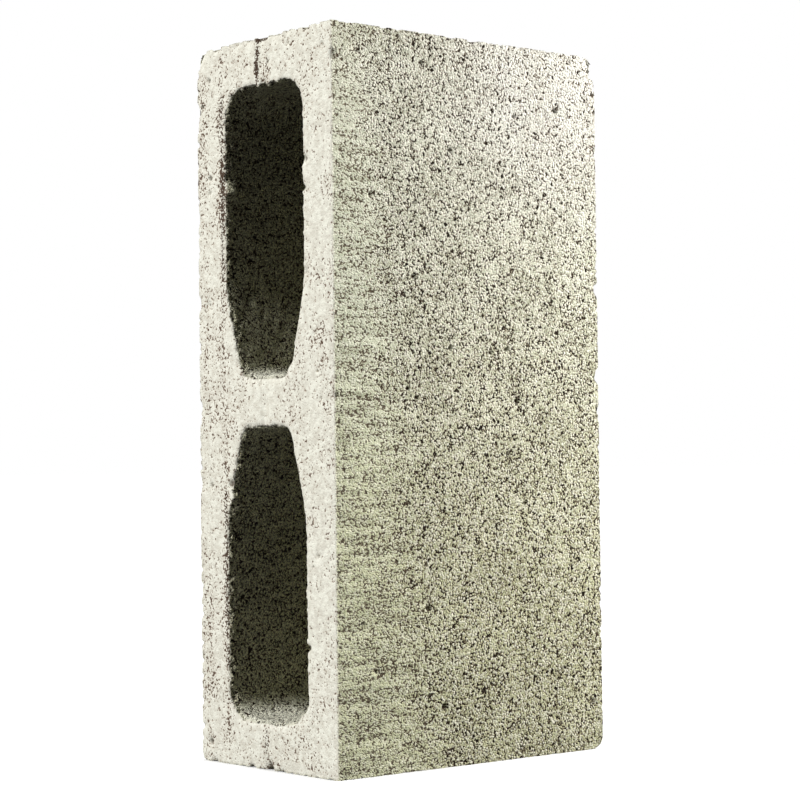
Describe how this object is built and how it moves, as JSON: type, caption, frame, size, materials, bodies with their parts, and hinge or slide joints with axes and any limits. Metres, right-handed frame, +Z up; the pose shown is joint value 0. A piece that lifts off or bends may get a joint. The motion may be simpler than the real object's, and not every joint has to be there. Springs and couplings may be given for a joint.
{
  "type": "hollow concrete block",
  "caption": "Hollow two-core concrete masonry block standing on end, with flared drafted cores, haunched face shells and a core-bar mark across the webs.",
  "frame": {"origin": "centre of the end face that the block stands on, at floor level", "axes": "+Z up along the block's length, X through the wall it builds, Y its height in a laid course: -Y is the mould-top bed face with the wide core mouths and the core-bar mark, +Y the pallet-side bed face"},
  "size_m": [0.12, 0.19, 0.39],
  "materials": {
    "concrete": "rough, open-textured, as it left the mould"
  },
  "bodies": {
    "root": {"block": "concrete"}
  },
  "joints": []
}
